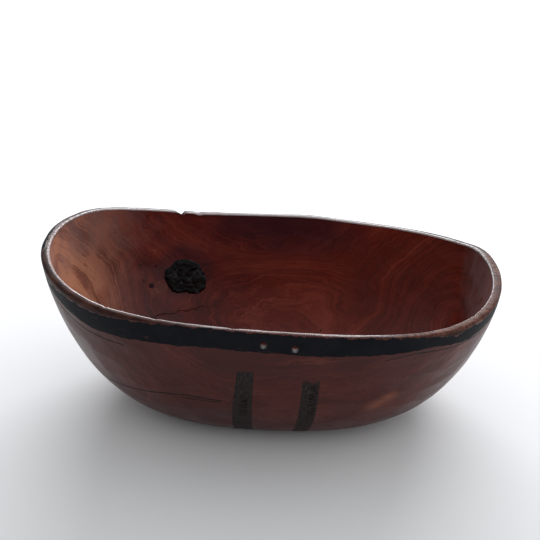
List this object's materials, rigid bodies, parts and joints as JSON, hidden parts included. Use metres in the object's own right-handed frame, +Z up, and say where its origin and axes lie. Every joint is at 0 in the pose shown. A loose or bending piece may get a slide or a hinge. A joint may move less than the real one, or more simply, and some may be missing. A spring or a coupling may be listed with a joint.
{
  "type": "carved wooden bowl",
  "caption": "Long boat-shaped bowl hand-carved from one block of dark red wood, with a charred rim band, two cord holes and a pitch-filled knot.",
  "frame": {"origin": "under the middle of the rim outline, on the surface that the foot stands on", "axes": "+X along the bowl towards its lower, right-hand end; -Y towards the front with the cord holes; +Z up"},
  "size_m": [0.4598, 0.2858, 0.1681],
  "materials": {
    "wood": "oiled and worn dark red-brown hardwood, charred black in a band under the rim and in two upright strips",
    "pitch": "black tree pitch, dull with a few glossy facets"
  },
  "bodies": {
    "root": {"bowl_body": "wood", "knot_plug": "pitch", "borer_plug": "pitch"}
  },
  "joints": []
}
